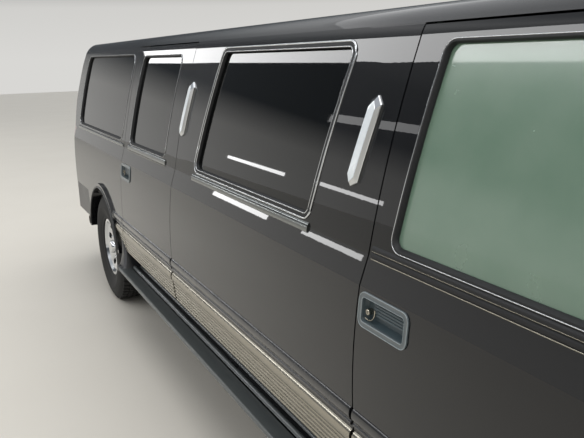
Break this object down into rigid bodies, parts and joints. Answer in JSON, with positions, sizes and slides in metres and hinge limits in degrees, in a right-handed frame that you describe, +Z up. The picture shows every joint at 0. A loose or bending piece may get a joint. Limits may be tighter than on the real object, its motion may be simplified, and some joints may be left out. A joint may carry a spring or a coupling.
{
  "type": "stretched full-size sport utility vehicle",
  "caption": "Stretched sport utility vehicle with hinged side doors, split tail doors with a hatch, a hood, steered front wheels and running boards.",
  "frame": {"origin": "on the ground below the middle of the overall length, midway between the sides", "axes": "+X forward, +Y to the vehicle's left, +Z up"},
  "size_m": [7.538, 2.464, 1.968],
  "materials": {
    "black_paint": "gloss black with clear coat",
    "clear_glass": "light green tint",
    "dark_glass": "dark privacy tint",
    "bright_chrome": "polished",
    "frame_black": "satin black",
    "underbody_black": "matt sealer",
    "cast_parts": "bare casting",
    "spring_steel": "dull",
    "exhaust_steel": "dull",
    "black_plastic": "matt",
    "trim_plastic": "grained",
    "board_rubber": "textured black",
    "seat_leather": "smooth",
    "lamp_lens": "clear lens",
    "red_lens": "red lens",
    "tyre_rubber": "black rubber"
  },
  "bodies": {
    "body": {"frame_rails": "frame_black", "underbody": "underbody_black", "roof": "black_paint", "windscreen": "clear_glass", "front_bumper": "bright_chrome", "rear_bumper": "bright_chrome", "grille": "bright_chrome", "front_axle": "cast_parts", "rear_axle": "cast_parts", "leaf_springs": "spring_steel", "engine": "cast_parts", "exhaust": "exhaust_steel", "fuel_tank": "black_plastic", "tow_receiver": "frame_black", "front_seats": "seat_leather", "lounge_seat": "seat_leather", "partition": "trim_plastic", "dashboard": "trim_plastic", "steering_wheel": "trim_plastic", "body_side_right": "black_paint", "fender_right": "black_paint", "lounge_glass_right": "dark_glass", "quarter_glass_right": "dark_glass", "headlamp_right": "lamp_lens", "tail_lamp_right": "red_lens", "running_board_right": "board_rubber", "pillar_lamps_right": "bright_chrome", "body_side_left": "black_paint", "fender_left": "black_paint", "lounge_glass_left": "dark_glass", "quarter_glass_left": "dark_glass", "headlamp_left": "lamp_lens", "tail_lamp_left": "red_lens", "running_board_left": "board_rubber", "pillar_lamps_left": "bright_chrome"},
    "front_door_right": {"front_door_right": "black_paint", "front_door_glass_right": "clear_glass", "door_mirror_right": "black_paint"},
    "rear_door_right": {"rear_door_right": "black_paint", "rear_door_glass_right": "dark_glass"},
    "tail_door_right": {"tail_door_right": "black_paint"},
    "knuckle_right": {"knuckle_right": "cast_parts"},
    "wheel_front_right": {"tyre_front_right": "tyre_rubber", "rim_front_right": "bright_chrome"},
    "wheel_rear_right": {"tyre_rear_right": "tyre_rubber", "rim_rear_right": "bright_chrome"},
    "front_door_left": {"front_door_left": "black_paint", "front_door_glass_left": "clear_glass", "door_mirror_left": "black_paint"},
    "rear_door_left": {"rear_door_left": "black_paint", "rear_door_glass_left": "dark_glass"},
    "tail_door_left": {"tail_door_left": "black_paint"},
    "knuckle_left": {"knuckle_left": "cast_parts"},
    "wheel_front_left": {"tyre_front_left": "tyre_rubber", "rim_front_left": "bright_chrome"},
    "wheel_rear_left": {"tyre_rear_left": "tyre_rubber", "rim_rear_left": "bright_chrome"},
    "hatch": {"hatch": "black_paint", "hatch_glass": "dark_glass"},
    "hood": {"hood": "black_paint"}
  },
  "joints": [
    {"name": "front_door_right_hinge", "type": "hinge", "parent": "body", "child": "front_door_right", "pos_m": [2.206, -1.001, 1], "axis": [0, 0, 1], "range_deg": [0, 65]},
    {"name": "rear_door_right_hinge", "type": "hinge", "parent": "body", "child": "rear_door_right", "pos_m": [-0.756, -1.001, 1], "axis": [0, 0, 1], "range_deg": [0, 65]},
    {"name": "tail_door_right_hinge", "type": "hinge", "parent": "body", "child": "tail_door_right", "pos_m": [-3.634, -0.742, 0.95], "axis": [0, 0, 1], "range_deg": [0, 90]},
    {"name": "front_door_left_hinge", "type": "hinge", "parent": "body", "child": "front_door_left", "pos_m": [2.206, 1.001, 1], "axis": [0, 0, -1], "range_deg": [0, 65]},
    {"name": "rear_door_left_hinge", "type": "hinge", "parent": "body", "child": "rear_door_left", "pos_m": [-0.756, 1.001, 1], "axis": [0, 0, -1], "range_deg": [0, 65]},
    {"name": "tail_door_left_hinge", "type": "hinge", "parent": "body", "child": "tail_door_left", "pos_m": [-3.634, 0.742, 0.95], "axis": [0, 0, -1], "range_deg": [0, 90]},
    {"name": "hatch_hinge", "type": "hinge", "parent": "body", "child": "hatch", "pos_m": [-3.5045, 0, 1.8665], "axis": [0, 1, 0], "range_deg": [0, 80]},
    {"name": "hood_hinge", "type": "hinge", "parent": "body", "child": "hood", "pos_m": [2.421, 0, 1.278], "axis": [0, -1, 0], "range_deg": [0, 52]},
    {"name": "steer_left", "type": "hinge", "parent": "body", "child": "knuckle_left", "pos_m": [2.806, 0.785, 0.402], "axis": [0, 0, 1], "range_deg": [-32, 32]},
    {"name": "steer_right", "type": "hinge", "parent": "body", "child": "knuckle_right", "pos_m": [2.806, -0.785, 0.402], "axis": [0, 0, 1], "range_deg": [-32, 32]},
    {"name": "wheel_front_right_spin", "type": "hinge", "parent": "knuckle_right", "child": "wheel_front_right", "pos_m": [2.806, -0.865, 0.402], "axis": [0, 1, 0], "continuous": true},
    {"name": "wheel_rear_right_spin", "type": "hinge", "parent": "body", "child": "wheel_rear_right", "pos_m": [-2.456, -0.865, 0.402], "axis": [0, 1, 0], "continuous": true},
    {"name": "wheel_front_left_spin", "type": "hinge", "parent": "knuckle_left", "child": "wheel_front_left", "pos_m": [2.806, 0.865, 0.402], "axis": [0, 1, 0], "continuous": true},
    {"name": "wheel_rear_left_spin", "type": "hinge", "parent": "body", "child": "wheel_rear_left", "pos_m": [-2.456, 0.865, 0.402], "axis": [0, 1, 0], "continuous": true}
  ],
  "couplings": [
    {"joint": "steer_right", "follows": "steer_left", "ratio": 1}
  ]
}
